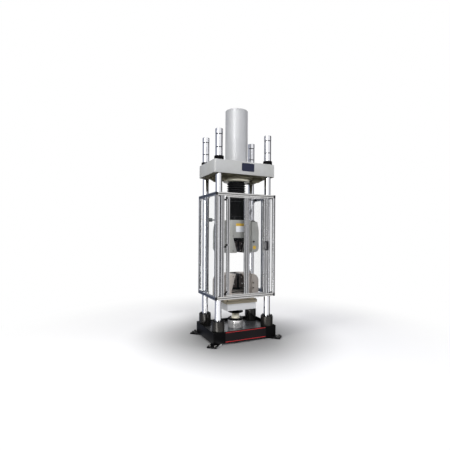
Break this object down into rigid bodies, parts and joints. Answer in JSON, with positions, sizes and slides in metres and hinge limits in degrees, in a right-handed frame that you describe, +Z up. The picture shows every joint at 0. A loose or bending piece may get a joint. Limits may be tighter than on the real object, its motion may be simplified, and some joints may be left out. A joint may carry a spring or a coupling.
{
  "type": "universal testing machine",
  "caption": "Free-standing column load frame with a hydraulic cylinder on its crosshead, wedge grips, a load cell below and a clear guard with a hinged door.",
  "frame": {"origin": "on the floor, under the middle of the load frame", "axes": "+Z up, +X to the right of someone standing in front, and the front, with the door, faces -Y"},
  "size_m": [1.1318, 0.8558, 3.2],
  "materials": {
    "black_paint": "satin",
    "plate_grey": "satin",
    "chrome": "polished",
    "dark_steel": "satin",
    "beige_paint": "satin",
    "silver_paint": "satin",
    "cream_paint": "satin",
    "grip_grey": "satin",
    "grip_beige": "satin",
    "jaw_steel": "satin",
    "off_white": "satin",
    "bright_steel": "satin",
    "bellows_rubber": "matte",
    "aluminium": "satin",
    "clear_panel": "gloss",
    "navy_plate": "satin",
    "label_black": "matte"
  },
  "bodies": {
    "frame": {"actuator_cylinder": "dark_steel", "base_plate": "plate_grey", "base_skirt": "black_paint", "cell_flange": "black_paint", "column_collar_front_left": "dark_steel", "column_collar_front_right": "dark_steel", "column_collar_rear_left": "dark_steel", "column_collar_rear_right": "dark_steel", "column_front_left": "chrome", "column_front_right": "chrome", "column_nut_front_left": "chrome", "column_nut_front_right": "chrome", "column_nut_rear_left": "chrome", "column_nut_rear_right": "chrome", "column_rear_left": "chrome", "column_rear_right": "chrome", "column_ring_front_left": "black_paint", "column_ring_front_right": "black_paint", "column_ring_rear_left": "black_paint", "column_ring_rear_right": "black_paint", "coupling_disc": "black_paint", "coupling_neck": "cream_paint", "cylinder_cover": "silver_paint", "cylinder_gland": "cream_paint", "foot_front_left": "black_paint", "foot_front_right": "black_paint", "foot_rear_left": "black_paint", "foot_rear_right": "black_paint", "front_label": "label_black", "grip_pedestal": "off_white", "guard_front": "aluminium", "guard_pane_left": "clear_panel", "guard_pane_right": "clear_panel", "guard_side_left": "aluminium", "guard_side_right": "aluminium", "hinge_bottom": "black_paint", "hinge_middle": "black_paint", "hinge_top": "black_paint", "load_cell": "bright_steel", "lower_grip_body": "grip_beige", "lower_grip_flange": "cream_paint", "lower_housing_left": "grip_beige", "lower_housing_right": "grip_beige", "nameplate": "navy_plate", "top_crosshead": "beige_paint"},
    "ram": {"piston_rod": "chrome", "rod_adaptor": "black_paint", "bellows_clamp": "dark_steel", "bellows": "bellows_rubber", "upper_grip_body": "grip_grey", "upper_housing_left": "grip_grey", "upper_housing_right": "grip_grey"},
    "upper_jaw_left_body": {"upper_jaw_left": "jaw_steel"},
    "upper_jaw_right_body": {"upper_jaw_right": "jaw_steel"},
    "lower_jaw_left_body": {"lower_jaw_left": "jaw_steel"},
    "lower_jaw_right_body": {"lower_jaw_right": "jaw_steel"},
    "door": {"door_frame": "aluminium", "door_pane": "clear_panel", "door_handle": "black_paint"}
  },
  "joints": [
    {"name": "ram_slide", "type": "slide", "parent": "frame", "child": "ram", "axis": [0, 0, 1], "range_m": [-0.15, 0.12], "deforming": ["bellows"]},
    {"name": "upper_jaw_right_slide", "type": "slide", "parent": "ram", "child": "upper_jaw_right_body", "axis": [0.2588, 0, 0.9659], "range_m": [-0.045, 0.045]},
    {"name": "upper_jaw_left_slide", "type": "slide", "parent": "ram", "child": "upper_jaw_left_body", "axis": [-0.2588, 0, 0.9659], "range_m": [-0.045, 0.045]},
    {"name": "lower_jaw_right_slide", "type": "slide", "parent": "frame", "child": "lower_jaw_right_body", "axis": [0.2588, 0, -0.9659], "range_m": [-0.045, 0.045]},
    {"name": "lower_jaw_left_slide", "type": "slide", "parent": "frame", "child": "lower_jaw_left_body", "axis": [-0.2588, 0, -0.9659], "range_m": [-0.045, 0.045]},
    {"name": "door_hinge", "type": "hinge", "parent": "frame", "child": "door", "pos_m": [-0.31, -0.337, 1.2945], "axis": [0, 0, -1], "range_deg": [0, 110]}
  ],
  "couplings": [
    {"joint": "upper_jaw_left_slide", "follows": "upper_jaw_right_slide", "ratio": 1},
    {"joint": "lower_jaw_left_slide", "follows": "lower_jaw_right_slide", "ratio": 1}
  ]
}
